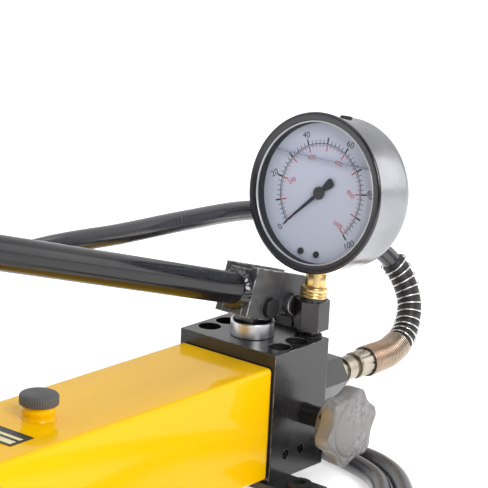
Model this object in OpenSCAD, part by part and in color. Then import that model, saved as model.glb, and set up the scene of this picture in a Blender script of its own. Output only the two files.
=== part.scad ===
// Two-stage hydraulic hand pump with pressure gauge, release valve and hose.
// Millimetres. Floor at z = 0, long axis X, pump block at the +X end,
// release knob on the -Y face. Origin: centre of the four base holes.

/* [Block] */
// block length along X
block_l = 56; // [50:1:64]
// block width along Y
block_w = 80; // [70:1:90]
// block height
block_h = 87; // [80:1:95]
// underside of the block above the floor
block_z = 8; // [6:1:12]

/* [Tank] */
// outer width and height of the square tube
tank_w = 76; // [66:1:86]
// tank length
tank_l = 333.5; // [250:0.5:420]
// tube wall
tank_t = 3; // [2:0.5:5]
// outer corner radius
tank_r = 2.5; // [2:0.5:8]

/* [Handle] */
// handle pitch above the horizontal at rest
pitch = 16.5; // [0:0.5:30]
// handle tube outside radius
tube_r = 10.5; // [8:0.5:14]
// handle tube length
tube_l = 405; // [300:5:600]
// piston radius
piston_r = 11; // [8:0.5:15]

/* [Gauge] */
// bezel outside radius
bezel_r = 52.5; // [40:0.5:65]
// backward lean of the gauge
lean = 9; // [0:1:20]

/* [Hose] */
// hose outside radius
hose_r = 6.7; // [5:0.1:9]

/* [Hidden] */
$fn = 48;
eps = 0.02;
bx = 192;
xf = block_l / 2;
yf = block_w / 2;
zt = block_z + block_h;
// piston axis, and pins A (piston), B (link top) and C (link foot)
pin_ax = -3;
pin_az = zt + 21;
pin_bx = 18;
pin_bz = zt + 20;
pin_cx = 39;
pin_cz = zt + 2;
link_a = atan2(pin_bz - pin_cz, pin_cx - pin_bx);
link_l = norm([pin_cx - pin_bx, pin_bz - pin_cz]);
b_u = (pin_bx - pin_ax) * cos(pitch) - (pin_bz - pin_az) * sin(pitch);
b_w = (pin_bx - pin_ax) * sin(pitch) + (pin_bz - pin_az) * cos(pitch);
// tank ends and centre height
tx1 = -xf - 1.5;
tx0 = tx1 - tank_l;
tcz = 10 + tank_w / 2;
// feet
foot_x1 = -18;
foot_x2 = -366;
foot_y = 57;
// outlet, release valve, gauge and filler positions
out_y = -22;
out_z = 59;
rel_x = 5.6;
rel_z = 48.4;
gx = 22.5;
gy = -29;
gz = zt + 26;
gc = 70;
cap_x = -203;
// coupler at the hose end
cp_x = 90;
cp_z = 14;

// colours
c_black = [0.13, 0.13, 0.14];
c_dark = [0.22, 0.22, 0.23];
c_yellow = [0.96, 0.75, 0.02];
c_steel = [0.75, 0.75, 0.76];
c_chrome = [0.85, 0.85, 0.87];
c_brass = [0.80, 0.62, 0.25];
c_copper = [0.75, 0.52, 0.34];
c_zinc = [0.72, 0.66, 0.52];
c_rubber = [0.10, 0.10, 0.11];
c_cast = [0.58, 0.58, 0.58];
c_dial = [0.80, 0.81, 0.87];

module at() { translate([bx, 0, 0]) children(); }
// cylinders along each axis
module cx(r, x0, x1, y, z, n = 48) {
  translate([x0, y, z]) rotate([0, 90, 0]) cylinder(h = x1 - x0, r = r, $fn = n);
}
module cy(r, y0, y1, x, z, n = 48) {
  translate([x, y0, z]) rotate([-90, 0, 0]) cylinder(h = y1 - y0, r = r, $fn = n);
}
module cz(r, z0, z1, x, y, n = 48) {
  translate([x, y, z0]) cylinder(h = z1 - z0, r = r, $fn = n);
}
module hexx(r, x0, x1, y, z) {
  translate([x0, y, z]) rotate([0, 90, 0]) rotate([0, 0, 30]) cylinder(h = x1 - x0, r = r, $fn = 6);
}
module box(x0, x1, y0, y1, z0, z1) {
  translate([x0, y0, z0]) cube([x1 - x0, y1 - y0, z1 - z0]);
}
// square bar along X with round edges
module rbar(x0, x1, w, r, zc) {
  box(x0, x1, -w / 2 + r, w / 2 - r, zc - w / 2, zc + w / 2);
  box(x0, x1, -w / 2, w / 2, zc - w / 2 + r, zc + w / 2 - r);
  for (sy = [-1, 1], sz = [-1, 1])
    cx(r, x0, x1, sy * (w / 2 - r), zc + sz * (w / 2 - r), 24);
}
module in_handle() {
  at() translate([pin_ax, 0, pin_az]) rotate([0, pitch, 0]) children();
}
module in_link() {
  at() translate([pin_bx, 0, pin_bz]) rotate([0, link_a, 0]) children();
}
module in_gauge() {
  at() translate([gx, gy, gz]) rotate([0, lean, 0]) children();
}

// ---- curve tools for the hose and its springs ----
function cat(p, i, t) =
  let (n = len(p), a = p[max(i - 1, 0)], b = p[i], c = p[min(i + 1, n - 1)],
    d = p[min(i + 2, n - 1)])
  0.5 * (2 * b + (c - a) * t + (2 * a - 5 * b + 4 * c - d) * t * t + (3 * b - a - 3 * c + d) * t * t * t);
// point u spans along the hose's centre line
function hose_at(u) = u >= hose_n ? hose_p[hose_n] : cat(hose_p, floor(u), u - floor(u));
function unit(v) = v / norm(v);
function tan_at(q, i) = unit(q[min(i + 1, len(q) - 1)] - q[max(i - 1, 0)]);
function perp(v, t) = unit(v - (v * t) * t);
// side vectors carried along the curve without twisting
function sides(q, i = 0, s = [0, 1, 0], acc = []) =
  i == len(q) ? acc : let (s2 = perp(s, tan_at(q, i))) sides(q, i + 1, s2, concat(acc, [s2]));
module sweep(q, r, n, s0 = [0, 1, 0]) {
  m = len(q);
  sv = sides(q, 0, s0);
  pts = [for (i = [0:m - 1], j = [0:n - 1])
    let (t = tan_at(q, i), s = sv[i], u = cross(t, s), a = 360 * j / n)
    q[i] + r * (cos(a) * s + sin(a) * u)];
  faces = concat(
    [for (i = [0:m - 2], j = [0:n - 1]) let (k = (j + 1) % n)
      [i * n + j, (i + 1) * n + j, (i + 1) * n + k, i * n + k]],
    [[for (j = [0:n - 1]) j]],
    [[for (j = [0:n - 1]) m * n - 1 - j]]);
  polyhedron(points = pts, faces = faces, convexity = 10);
}
// centre line of the hose, from the crimped ferrule over the handle's far side, down to the floor,
// round the block and back behind it
hose_p = [
  [84, -22, 59], [104, -22, 59], [126.5, -21.5, 60], [149, -17.2, 67.3], [163.3, -9.6, 85.3],
  [162.7, 1.4, 106.6], [148.8, 11.5, 123.8], [120.5, 21.5, 139.6], [84, 28, 155],
  [31, 34.5, 166], [-29, 39.5, 168.5], [-86, 45, 168.5], [-140, 58, 167], [-192, 87, 153],
  [-219, 128, 112], [-213, 153, 65], [-182, 161, 25], [-132, 155, 8], [-68, 137, 6.7],
  [-6, 108, 6.7], [37, 71, 6.7], [52, 18, 6.7], [49.3, -36, 6.7], [29.5, -86, 6.7],
  [-20, -115, 6.7], [-95, -110, 6.7], [-187, -96, 6.7], [-226, -118, 6.7], [-239, -157, 6.7],
  [-219, -192, 6.7], [-176, -204, 6.7], [-118, -193, 6.7], [-56, -165, 6.7], [-5, -135, 6.7],
  [39.8, -96, 6.7], [57.6, -67.5, 6.7], [63.8, -36, 6.7], [79, 6, 8.7], [89.5, 38, 13.6],
  [90, 54, 14]];
arch_n = 8;
hose_n = len(hose_p) - 1;
hose_q = concat([for (i = [0:5 * arch_n - 1]) hose_at(i / 5)],
  [for (i = [3 * arch_n:3 * hose_n]) hose_at(i / 3)]);
guard_q = [for (i = [0:18]) hose_at(0.65 + i * 1.8 / 18)];
spring_q = [for (i = [0:150]) hose_at(2.5 + i * 2.85 / 150)];
wrap_q = [for (i = [0:24]) hose_at(2.2 + i * 3.12 / 24)];

// ======== body of the pump ========
// pump block with its bores and valve drillings
module pump_block() {
  color(c_dark) at() difference() {
    box(-xf, xf, -yf, yf, block_z, zt);
    cz(13.05, zt - 12, zt + 1, pin_ax, 0);
    cz(piston_r + 0.05, 44, zt - 11, pin_ax, 0);
    cz(5.05, 30, 45, pin_ax, 0);
    cz(2, 19, 31, pin_ax, 0);
    cz(5, block_z - 1, 20, pin_ax, 0);
    cx(2.5, -xf - 1, pin_ax, 0, 18);
    cx(5, 6, xf + 1, 0, 36);
    cx(1.5, pin_ax, 7, 0, 36);
    cy(1.5, out_y, 0, 15, 36);
    cz(1.5, 36, 52, 15, out_y);
    cx(9, 14, xf + 1, out_y, out_z);
    cz(4.6, zt - 15, zt + 1, gx, gy);
    cz(1.5, 63, zt - 14, gx, gy + 1);
    cy(7, -yf - 1, -24, rel_x, rel_z);
    cy(3.6, -25, -17, rel_x, rel_z);
    cx(1.5, -xf - 1, 15, -19.5, rel_z);
    for (x = [3.6, -12.1]) cy(3.5, -yf - 1, -27, x, 24);
    for (x = [3.6, -12.1]) cy(1.5, -28, -10, x, 24);
    cx(5, -xf - 1, -18, 0, 36);
    for (x = [-11, 7], y = [-29.5, 29.5]) cz(7.6, zt - 11, zt + 1, x, y);
    for (x = [-11, 7], y = [-29.5, 29.5]) cz(4.05, 60, zt - 10, x, y);
    for (y = [-25, 25]) cz(3.05, block_z - 1, 22, foot_x1, y);
    for (y = [-11, 11]) cx(2.05, xf - 10, xf + 1, y, 85);
  }
}
// socket screws in the four deep counterbores of the block
module block_screws() {
  color(c_black) at() for (x = [-11, 7], y = [-29.5, 29.5]) difference() {
    union() {
      cz(6.4, zt - 11, zt - 4, x, y);
      cz(4, 62, zt - 10.5, x, y);
    }
    cz(3.2, zt - 8, zt, x, y, 6);
  }
}
// two valve screws low on the -Y face, each with its poppet
module valve_screws() {
  color(c_black) at() for (x = [3.6, -12.1]) difference() {
    union() {
      cy(3.45, -yf + 1.5, -28, x, 24);
      cy(1.3, -28.5, -12, x, 24, 24);
    }
    cy(1.6, -yf, -yf + 4, x, 24, 6);
  }
}
// polished gland ring round the piston
module gland_ring() {
  color(c_chrome) at() translate([pin_ax, 0, zt]) rotate_extrude()
    polygon([[11.05, -12], [13, -12], [13, 0], [14.1, 0], [14.5, 0.4], [14.5, 9.9], [13.9, 10.5],
      [13.1, 10.5], [12.9, 10.2], [12.9, 5.5], [11.05, 5.5], [11.05, -3.5], [12.2, -3.5], [12.2, -7],
      [11.05, -7]]);
}
// lip seal inside the gland
module piston_seal() {
  color(c_rubber) at() translate([pin_ax, 0, zt]) rotate_extrude()
    polygon([[11.02, -6.9], [12.15, -6.9], [12.15, -3.6], [11.02, -3.6]]);
}
// suction check ball and its spring, closed by a screw plug
module suction_valve() {
  color(c_steel) at() {
    translate([pin_ax, 0, 16.8]) sphere(r = 3.1);
    cz(2, 10.5, 13.7, pin_ax, 0);
    cz(4.95, block_z, 10.5, pin_ax, 0);
  }
}
// discharge check ball, spring and screw plug in the +X face
module discharge_valve() {
  color(c_steel) at() {
    translate([9.2, 0, 36]) sphere(r = 3.1);
    cx(2, 12.3, 19, 0, 36);
    cx(4.95, 19, xf, 0, 36);
    hexx(6.5, xf, xf + 4, 0, 36);
  }
}
// two-stage piston with a slotted tongue for the handle pin
module piston() {
  color(c_dark) at() difference() {
    union() {
      cz(5, 36, 51, pin_ax, 0);
      cz(piston_r, 50, zt + 9, pin_ax, 0);
      box(pin_ax - 9.8, pin_ax + 9.8, -7.6, 7.6, zt + 8, pin_az);
      cy(9.8, -7.6, 7.6, pin_ax, pin_az);
    }
    for (d = [-0.7, 0.7]) cy(4.95, -9, 9, pin_ax + d, pin_az);
    box(pin_ax - 0.7, pin_ax + 0.7, -9, 9, pin_az - 4.95, pin_az + 4.95);
  }
}

// ======== tank ========
// square tube reservoir
module tank() {
  color(c_yellow) at() difference() {
    rbar(tx0, tx1, tank_w, tank_r, tcz);
    rbar(tx0 - 1, tx1 + 1, tank_w - 2 * tank_t, 1.5, tcz);
    cz(7, tcz, 100, cap_x, 0);
  }
}
// flat gaskets at both ends of the tank
module tank_gaskets() {
  color(c_rubber) at() for (x = [tx0 - 1, tx1]) difference() {
    rbar(x, x < -100 ? tx0 : -xf, tank_w - 1, tank_r, tcz);
    rbar(x - 1, x + 3, tank_w - 9, 2, tcz);
  }
}
// rear end plate
module tank_end() {
  color(c_dark) at() difference() {
    rbar(tx0 - 13, tx0 - 1, tank_w + 4, 5, tcz);
    cx(5.1, tx0 - 20, tx0 + 1, 0, 36);
    for (y = [-25, 25]) cz(3.05, 6, 22, -370, y);
  }
}
module tie_rod() {
  color(c_steel) at() cx(5, tx0 - 22, -18, 0, 36);
}
module tie_nut() {
  color(c_steel) at() difference() {
    union() {
      cx(10, tx0 - 15, tx0 - 13, 0, 36);
      hexx(9.8, tx0 - 23, tx0 - 15, 0, 36);
      translate([tx0 - 23, 0, 36]) sphere(r = 7.6);
    }
    cx(5, tx0 - 22, tx0 - 12, 0, 36);
  }
}
// welded filler neck
module filler_neck() {
  color(c_yellow) at() difference() {
    union() {
      cz(9.8, tcz + tank_w / 2, 95, cap_x, 0);
      cz(6.98, tcz + tank_w / 2 - 3, tcz + tank_w / 2 + 1, cap_x, 0);
    }
    cz(5.6, 70, 100, cap_x, 0);
  }
}
// filler cap with a knurled rim
module filler_cap() {
  color(c_black) at() difference() {
    union() {
      cz(12, 95, 101, cap_x, 0);
      cz(11.4, 101, 101.8, cap_x, 0);
    }
    for (a = [0:10:350])
      translate([cap_x, 0, 0]) rotate([0, 0, a]) cz(0.6, 94, 100.2, 12.2, 0, 16);
    cz(8.6, 94, 96.6, cap_x, 0);
    cz(2, 96, 99, cap_x, 0);
  }
}
// stopper with its seal and dipstick, hanging from the cap
module dipstick() {
  color(c_steel) at() {
    cz(5.5, 84, 95, cap_x, 0);
    cz(8.4, 95, 96.5, cap_x, 0);
    cz(1.9, 95, 98.8, cap_x, 0);
    cz(1.5, 62, 85, cap_x, 0);
  }
}
// suction pipe and strainer inside the tank
module suction_pipe() {
  color(c_brass) at() difference() {
    cx(2.45, -70, -20, 0, 18);
    cx(1.6, -71, -19, 0, 18);
  }
}
module strainer() {
  color(c_brass) at() difference() {
    cx(4.6, -104, -62, 0, 18);
    cx(2.45, -70, -61, 0, 18);
  }
}
// thin blank plate on the tank top
module top_plate() {
  color(c_black) at() box(-249.5, -230, -22.5, 22.5, tcz + tank_w / 2, tcz + tank_w / 2 + 0.5);
}

// ======== feet ========
module strap(x) {
  difference() {
    box(x - 13, x + 13, -70, 70, 3, 8);
    for (y = [-foot_y, foot_y]) cz(6, 2, 9, x, y);
  }
}
module front_foot() {
  color(c_black) at() difference() {
    strap(foot_x1);
    for (y = [-25, 25]) cz(3.05, 2, 9, foot_x1, y);
    for (y = [-25, 25]) cz(5.6, 2, 5.2, foot_x1, y);
  }
}
module rear_foot() {
  color(c_black) at() difference() {
    strap(foot_x2);
    for (y = [-25, 25]) cz(3.05, 2, 9, -370, y);
    for (y = [-25, 25]) cz(5.6, 2, 5.2, -370, y);
  }
}
// cap screws that hold both straps from below
module foot_screws() {
  color(c_steel) at() for (x = [foot_x1, -370], y = [-25, 25]) {
    cz(5.4, 3, 5.2, x, y);
    cz(3, 5.2, 20, x, y);
  }
}
// rubber bushes the pump stands on
module foot_bushes() {
  color(c_rubber) at() for (x = [foot_x1, foot_x2], y = [-foot_y, foot_y]) difference() {
    union() {
      cz(9, 0, 3, x, y);
      cz(5.98, 3, 8, x, y);
      cz(8, 8, 11.5, x, y);
    }
    cz(4.25, -1, 13, x, y);
  }
}

// ======== handle and linkage ========
module link_lug() {
  color(c_dark) at() difference() {
    union() {
      box(xf, xf + 4, -16, 16, 77, 93);
      translate([0, 7, 0]) rotate([90, 0, 0]) linear_extrude(14)
        polygon([[xf, 77], [xf, 92], [32, 99], [39, 105], [47, 97], [44, 88]]);
      cy(8, -7, 7, pin_cx, pin_cz);
    }
    cy(4, -8, 8, pin_cx, pin_cz);
    for (y = [-11, 11]) cx(2.05, xf - 1, xf + 5, y, 85);
  }
}
module lug_screws() {
  color(c_black) at() for (y = [-11, 11]) {
    cx(2, xf - 9, xf + 4, y, 85);
    cx(3.6, xf + 4, xf + 7.5, y, 85);
  }
}
// pin C with its spacers
module pin_c() {
  color(c_steel) at() {
    cy(4, -19, 19, pin_cx, pin_cz);
    for (s = [-19, 18.2]) cy(5.6, s, s + 0.8, pin_cx, pin_cz);
    for (s = [-13.3, 7]) cy(6.2, s, s + 6.3, pin_cx, pin_cz);
  }
}
module link_plates() {
  color(c_dark) in_link() for (y = [-18, 13.5]) difference() {
    union() {
      box(0, link_l, y, y + 4.5, -7, 7);
      cy(7, y, y + 4.5, 0, 0);
      cy(7, y, y + 4.5, link_l, 0);
    }
    cy(4, y - 1, y + 6, 0, 0);
    cy(4.05, y - 1, y + 6, link_l, 0);
  }
}
// pin B turns in the yoke and is held in the links
module pin_b() {
  color(c_steel) at() {
    cy(4, -18.5, 18.5, pin_bx, pin_bz);
    cy(5.8, -18.85, -18, pin_bx, pin_bz);
    cy(5.6, 18.1, 18.9, pin_bx, pin_bz);
  }
}
// two side plates of the handle yoke
module yoke_plates() {
  color(c_dark) in_handle() for (y = [-8, 13]) difference() {
    union() {
      translate([0, y, 0]) rotate([90, 0, 0]) linear_extrude(5)
        polygon([[-22, -8.6], [1, -8.6], [17.2, -1.6], [b_u, -1.6], [b_u + 8, b_w], [37, 24.2],
          [-21, 24.2]]);
      cy(8, y - 5, y, b_u, b_w);
    }
    cy(4.8, y - 6, y + 1, 0, 0);
    cy(4.06, y - 6, y + 1, b_u, b_w);
  }
}
// cross web between the side plates
module yoke_web() {
  color(c_dark) in_handle() box(-22, -17, -8, 8, -8.6, 22);
}
// pin A in the yoke and the piston tongue
module pin_a() {
  color(c_steel) in_handle() {
    cy(4.8, -13, 13.2, 0, 0);
    cy(6.5, -16.5, -13, 0, 0);
    cy(6.5, 13, 14, 0, 0);
  }
}
module handle_tube() {
  color(c_black) in_handle() difference() {
    cx(tube_r, -31 - tube_l, -22, 0, 8);
    cx(tube_r - 2.5, -32 - tube_l, -21, 0, 8);
  }
}
// fillet weld round the end of the tube
module weld_beads() {
  color(c_black) in_handle() difference() {
    translate([-22, 0, 8]) rotate([0, -90, 0]) rotate_extrude()
      polygon([[tube_r + 0.03, 0], [tube_r + 2.3, 0], [tube_r + 1.5, 1.7], [tube_r + 0.03, 2.6]]);
    box(-22, -11, -14, 14, -10, 26);
  }
}
// rubber grip at the end of the tube
module grip() {
  color(c_rubber) in_handle() difference() {
    union() {
      cx(13.5, -34 - tube_l, 90 - tube_l, 0, 8);
      for (i = [0:8]) cx(14.1, -26 - tube_l + 12 * i, -21 - tube_l + 12 * i, 0, 8);
    }
    cx(tube_r, -31 - tube_l, 91 - tube_l, 0, 8);
  }
}

// ======== outlet and hose ========
module outlet_washer() {
  color(c_copper) at() difference() {
    cx(12.5, xf, xf + 1.5, out_y, out_z);
    cx(9, xf - 1, xf + 2, out_y, out_z);
  }
}
module outlet_adapter() {
  color(c_dark) at() difference() {
    union() {
      cx(8.95, 15, xf + 2, out_y, out_z);
      hexx(16.5, xf + 1.5, 56, out_y, out_z);
    }
    cx(4, 14, 57, out_y, out_z);
  }
}
// plated hose nipple with its collar
module hose_nipple() {
  color(c_zinc) at() difference() {
    union() {
      cx(7, 56, 82, out_y, out_z);
      cx(8.4, 69, 78, out_y, out_z);
    }
    cx(3, 55, 83, out_y, out_z);
  }
}
// crimped ferrule with long flutes
module hose_ferrule() {
  color(c_zinc) at() difference() {
    cx(9.4, 82, 103, out_y, out_z);
    cx(hose_r, 84, 104, out_y, out_z);
    cx(3, 81, 85, out_y, out_z);
    for (a = [0:45:315]) translate([0, out_y, out_z]) rotate([a, 0, 0]) cx(1.5, 80, 97, 0, 10.2, 16);
  }
}
// close-wound guard over the ferrule and hose
module guard_coil() {
  color(c_copper) at() difference() {
    sweep(guard_q, 10.9, 20);
    guard_core();
  }
}
module guard_core() {
  e = len(guard_q) - 1;
  q = concat([guard_q[0] - [4, 0, 0]], guard_q, [guard_q[e] + 4 * tan_at(guard_q, e)]);
  sweep(q, 9.6, 20);
}
// open spring guard, a wire helix round the hose
module guard_spring() {
  m = len(spring_q);
  sv = sides(spring_q);
  turns = 11;
  h = [for (i = [0:m - 1])
    let (t = tan_at(spring_q, i), s = sv[i], u = cross(t, s), a = 360 * turns * i / (m - 1))
    spring_q[i] + 9.45 * (cos(a) * s + sin(a) * u)];
  color(c_chrome) at() sweep(h, 0.7, 6, [1, 0, 0]);
}
module hose() {
  color(c_rubber) at() {
    sweep(hose_q, hose_r, 10);
    sweep(wrap_q, 8.5, 16);
  }
}
// coupler on the free end
module coupler_ferrule() {
  color(c_zinc) at() difference() {
    cy(9.4, 42, 66, cp_x, cp_z);
    cy(hose_r + 0.3, 41, 55, cp_x, cp_z);
    cy(hose_r + 1.5, 41, 50, cp_x, cp_z);
    cy(3, 54, 67, cp_x, cp_z);
  }
}
module coupler_body() {
  color(c_steel) at() difference() {
    union() {
      translate([cp_x, 66, cp_z]) rotate([-90, 0, 0]) cylinder(h = 11, r = 13.5, $fn = 6);
      cy(10, 76, 81, cp_x, cp_z);
      cy(10, 80, 110, cp_x, cp_z);
      cy(12.5, 106, 110, cp_x, cp_z);
    }
    cy(3, 65, 95, cp_x, cp_z);
    cy(7, 94, 111, cp_x, cp_z);
  }
}
module coupler_sleeve() {
  color(c_steel) at() difference() {
    cy(13.8, 81, 98, cp_x, cp_z);
    cy(10.06, 80, 99, cp_x, cp_z);
    for (y = [84, 88, 92, 96]) rgroove(y);
  }
}
module rgroove(y) {
  difference() {
    cy(15, y - 0.7, y + 0.7, cp_x, cp_z);
    cy(13.1, y - 1, y + 1, cp_x, cp_z);
  }
}

// ======== gauge ========
module gauge_adapter() {
  color(c_dark) difference() {
    union() {
      at() cz(4.5, zt - 14, zt + 6, gx, gy);
      at() translate([gx, gy, zt + 5.5]) cylinder(h = 20, r = 11.55, $fn = 6);
      in_gauge() cz(8, -4, 2, 0, 0);
    }
    at() cz(1.5, zt - 15, zt + 20, gx, gy);
  }
}
module adapter_seal() {
  color(c_rubber) at() difference() {
    cz(7.5, zt, zt + 1.5, gx, gy);
    cz(4.5, zt - 1, zt + 2, gx, gy);
  }
}
// brass gauge stem: ringed collar and square
module gauge_stem() {
  color(c_brass) in_gauge() {
    cz(8.9, 2, 4.6, 0, 0);
    cz(8.3, 4.6, 5.4, 0, 0);
    cz(8.9, 5.4, 8, 0, 0);
    cz(8.3, 8, 8.8, 0, 0);
    cz(8.9, 8.8, 12, 0, 0);
    rotate([0, 0, 48]) box(-6, 6, -6, 6, 12, 17);
    difference() {
      cz(6.6, 16, 24, 0, 0);
      cx(49.8, -12, 22, 0, gc);
    }
  }
}
// round case, open to the front (local -X)
module gauge_case() {
  color(c_chrome) in_gauge() difference() {
    union() {
      cx(49.8, -13, 20, 0, gc);
      cx(47.6, 20, 22, 0, gc);
    }
    cx(47.8, -14, 18, 0, gc);
    cz(3.05, gc + 40, gc + 55, 6, 0);
  }
}
module gauge_bezel() {
  color(c_black) in_gauge() translate([-7, 0, gc]) rotate([0, -90, 0]) rotate_extrude()
    polygon([[47.5, 6], [52, 6], [52.5, 6.6], [52.5, 8.4], [51.5, 9.7], [50, 10.2], [46.4, 10.2],
      [45.6, 9.8], [45.6, 9], [47.5, 9]]);
}
module gauge_glass() {
  color([0.8, 0.9, 1, 0.35]) in_gauge() cx(47.3, -15.9, -13.1, 0, gc);
}
module gauge_dial() {
  color(c_dial) in_gauge() difference() {
    cx(47.4, -10, -8.8, 0, gc);
    cx(1.6, -11, -8, 0, gc);
    for (y = [-4.6, 8]) cx(1.2, -11, -8, y, gc - 39.7);
  }
}
module dial_screws() {
  color(c_dark) in_gauge() for (y = [-4.6, 8]) {
    cx(2.1, -11.1, -10, y, gc - 39.7);
    cx(1.1, -10, 2, y, gc - 39.7);
  }
}
// pointer on its arbor, at zero
module gauge_pointer() {
  color(c_black) in_gauge() {
    cx(1.5, -12.8, 2, 0, gc);
    cx(4, -12.4, -10.6, 0, gc);
    translate([0, 0, gc]) rotate([45, 0, 0]) box(-12, -11, -1, 1, -34, 12);
  }
}
// frame of the movement behind the dial
module gauge_movement() {
  color(c_brass) in_gauge() difference() {
    union() {
      box(2, 4, -14, 14, gc - 34, gc + 12);
      box(8, 10, -14, 14, gc - 12, gc + 12);
      for (y = [-11, 11]) cx(2, 3, 9, y, gc - 9);
      for (y = [-11, 11]) cx(2, 3, 9, y, gc + 9);
      intersection() {
        box(2, 17, -9, 0, 20, gc - 29);
        cx(47.8, 0, 18, 0, gc);
      }
    }
    cx(1.6, 0, 12, 0, gc);
  }
}
// curved pressure tube behind the dial
module bourdon_tube() {
  color(c_brass) in_gauge() translate([14, 0, gc]) rotate([0, 90, 0])
    rotate_extrude(angle = 250) translate([33, 0]) circle(r = 3, $fn = 16);
}
// rubber vent plug on top of the case
module vent_plug() {
  color(c_rubber) in_gauge() {
    cz(4, gc + 49.85, gc + 50.8, 6, 0);
    cz(3, gc + 46.5, gc + 50, 6, 0);
  }
}

// ======== release valve ========
module release_gland() {
  color(c_black) at() difference() {
    cy(6.95, -59.5, -25, rel_x, rel_z);
    cy(3.55, -61, -24, rel_x, rel_z);
  }
}
module release_ball() {
  color(c_steel) at() translate([rel_x, -20.2, rel_z]) sphere(r = 3);
}
// spindle with the knob's set screw
module release_spindle() {
  color(c_steel) at() {
    cy(3.5, -76, -23.3, rel_x, rel_z);
    translate([rel_x, 0, rel_z]) rotate([0, 27, 0]) cx(1.9, -12, -2, -64, 0, 24);
  }
}
// six-lobed cast knob with a stepped hub
module release_knob() {
  color(c_cast) at() translate([rel_x, 0, rel_z]) difference() {
    union() {
      translate([0, -68, 0]) rotate([90, 0, 0]) linear_extrude(12) difference() {
        circle(r = 26, $fn = 72);
        for (a = [43:60:343]) rotate([0, 0, a]) translate([38.2, 0]) circle(r = 16, $fn = 72);
      }
      cy(14.5, -68.5, -60, 0, 0);
      cy(19, -80.5, -79, 0, 0);
    }
    cy(3.5, -76, -59, 0, 0);
    rotate([0, 27, 0]) cx(2, -16, 0, -64, 0, 24);
  }
}

pump_block();
block_screws();
valve_screws();
gland_ring();
piston_seal();
suction_valve();
discharge_valve();
piston();
tank();
tank_gaskets();
tank_end();
tie_rod();
tie_nut();
filler_neck();
filler_cap();
dipstick();
suction_pipe();
strainer();
top_plate();
front_foot();
rear_foot();
foot_screws();
foot_bushes();
link_lug();
lug_screws();
pin_c();
link_plates();
pin_b();
yoke_plates();
yoke_web();
pin_a();
handle_tube();
weld_beads();
grip();
outlet_washer();
outlet_adapter();
hose_nipple();
hose_ferrule();
guard_coil();
guard_spring();
hose();
coupler_ferrule();
coupler_body();
coupler_sleeve();
gauge_adapter();
adapter_seal();
gauge_stem();
gauge_case();
gauge_bezel();
gauge_glass();
gauge_dial();
dial_screws();
gauge_pointer();
gauge_movement();
bourdon_tube();
vent_plug();
release_gland();
release_ball();
release_spindle();
release_knob();
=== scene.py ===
"""Hydraulic hand pump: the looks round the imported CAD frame. Metres, row frame."""
import math

import bpy
import bmesh
from mathutils import Matrix, Vector, noise


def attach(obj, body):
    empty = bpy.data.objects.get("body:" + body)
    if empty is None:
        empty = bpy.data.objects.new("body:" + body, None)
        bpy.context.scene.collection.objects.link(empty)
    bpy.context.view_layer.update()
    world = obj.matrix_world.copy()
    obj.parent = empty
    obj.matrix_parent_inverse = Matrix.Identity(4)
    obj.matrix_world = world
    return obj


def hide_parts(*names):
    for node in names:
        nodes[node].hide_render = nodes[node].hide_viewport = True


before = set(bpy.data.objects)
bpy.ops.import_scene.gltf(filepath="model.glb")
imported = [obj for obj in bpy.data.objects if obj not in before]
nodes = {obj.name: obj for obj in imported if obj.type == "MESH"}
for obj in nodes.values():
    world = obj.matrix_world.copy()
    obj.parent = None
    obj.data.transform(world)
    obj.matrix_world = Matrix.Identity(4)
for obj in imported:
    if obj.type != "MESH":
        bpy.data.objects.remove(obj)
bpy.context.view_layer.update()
MM = 0.001
BX = 192.0  # block centre along X, mm


# ---------------------------------------------------------------- helpers
def at(x, y, z):
    """A block-centred millimetre point in the row frame, in metres."""
    return Vector(((x + BX) * MM, y * MM, z * MM))


def new_piece(name, verts, faces, mat, body, smooth=True):
    """A visible piece that rides on a body and wears one material under one slot."""
    mesh = bpy.data.meshes.new(name)
    mesh.from_pydata([tuple(v) for v in verts], [], faces)
    mesh.update()
    for poly in mesh.polygons:
        poly.use_smooth = smooth
    obj = bpy.data.objects.new(name, mesh)
    bpy.context.scene.collection.objects.link(obj)
    obj.data.materials.append(mat)
    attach(obj, body)
    return obj


def basis(axis, side=None):
    """Rotation whose Z is the axis, and whose X is near the side."""
    z = Vector(axis).normalized()
    x = Vector(side) if side else (Vector((0, 0, 1)) if abs(z.z) < 0.9 else Vector((1, 0, 0)))
    x = (x - z * x.dot(z)).normalized()
    y = z.cross(x)
    return Matrix((x, y, z)).transposed()


def lathe(name, profile, origin, axis, mat, body, seg=96, side=None, ripple=None):
    """A turned piece. The profile is a closed loop of (radius, height) in mm; ripple(angle, i) scales the
    radius of point i."""
    rot = basis(axis, side)
    verts, faces = [], []
    n = len(profile)
    for i, (r, h) in enumerate(profile):
        for j in range(seg):
            a = 2 * math.pi * j / seg
            k = ripple(a, i) if ripple else 1.0
            verts.append(origin + rot @ Vector((r * k * math.cos(a), r * k * math.sin(a), h)) * MM)
    for i in range(n):
        for j in range(seg):
            a, b = i * seg + j, i * seg + (j + 1) % seg
            c, d = ((i + 1) % n) * seg + (j + 1) % seg, ((i + 1) % n) * seg + j
            faces.append((a, b, c, d))
    obj = new_piece(name, verts, faces, mat, body)
    fix_normals(obj)
    sharpen(obj)
    even = obj.modifiers.new("weighted", "WEIGHTED_NORMAL")
    even.keep_sharp = True
    even.weight = 80
    return obj


def fix_normals(obj):
    """Joins doubled points, and turns all faces outward."""
    bm = bmesh.new()
    bm.from_mesh(obj.data)
    bmesh.ops.remove_doubles(bm, verts=bm.verts, dist=1e-7)
    bmesh.ops.recalc_face_normals(bm, faces=bm.faces)
    bm.to_mesh(obj.data)
    bm.free()


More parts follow.
